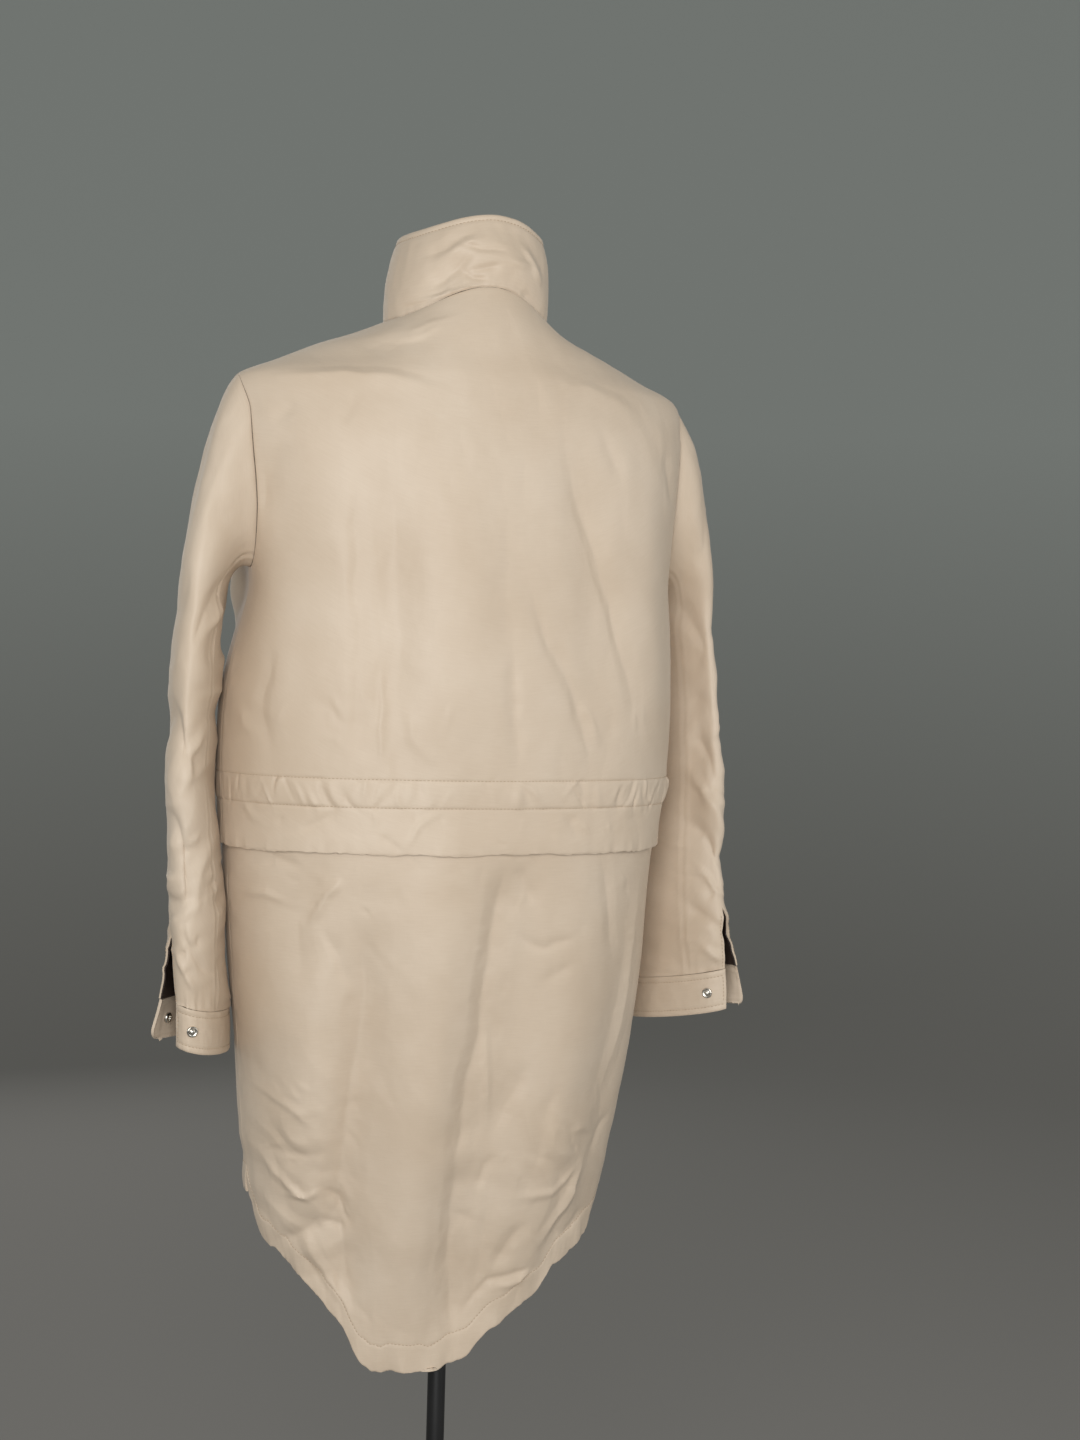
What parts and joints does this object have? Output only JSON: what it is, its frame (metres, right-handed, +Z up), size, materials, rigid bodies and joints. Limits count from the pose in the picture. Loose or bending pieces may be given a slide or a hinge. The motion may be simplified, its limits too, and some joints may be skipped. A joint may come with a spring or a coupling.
{
  "type": "overcoat on dress form",
  "caption": "Long-sleeved overcoat with a stand-up collar, gathered waist casing and scooped shirt-tail hem, worn by a limbless dress form on a pole with a round base.",
  "frame": {"origin": "on the floor at the centre of the base plate's underside, under the pole", "axes": "+Z up along the pole, -Y towards the coat's front, +X towards the wearer's left"},
  "size_m": [0.5662, 0.33, 1.506],
  "materials": {
    "shell_cloth": "satin beige plain weave",
    "lining_cloth": "dark brown lining",
    "snap_metal": "bright nickel",
    "form_cover": "black jersey cover",
    "black_steel": "satin black"
  },
  "bodies": {
    "root": {"back_bodice": "shell_cloth", "back_skirt": "shell_cloth", "collar": "shell_cloth", "cuff_left": "shell_cloth", "cuff_right": "shell_cloth", "form_torso": "form_cover", "front_bodice_left": "shell_cloth", "front_bodice_right": "shell_cloth", "front_skirt_left": "shell_cloth", "front_skirt_right": "shell_cloth", "placket_lower": "shell_cloth", "placket_upper": "shell_cloth", "sleeve_left": "shell_cloth", "sleeve_lining_left": "lining_cloth", "sleeve_lining_right": "lining_cloth", "sleeve_right": "shell_cloth", "snap_cap_left": "snap_metal", "snap_cap_right": "snap_metal", "snap_socket_left": "snap_metal", "snap_socket_right": "snap_metal", "snap_stud_left": "snap_metal", "snap_stud_right": "snap_metal", "stand_base": "black_steel", "stand_pole": "black_steel"}
  },
  "joints": []
}
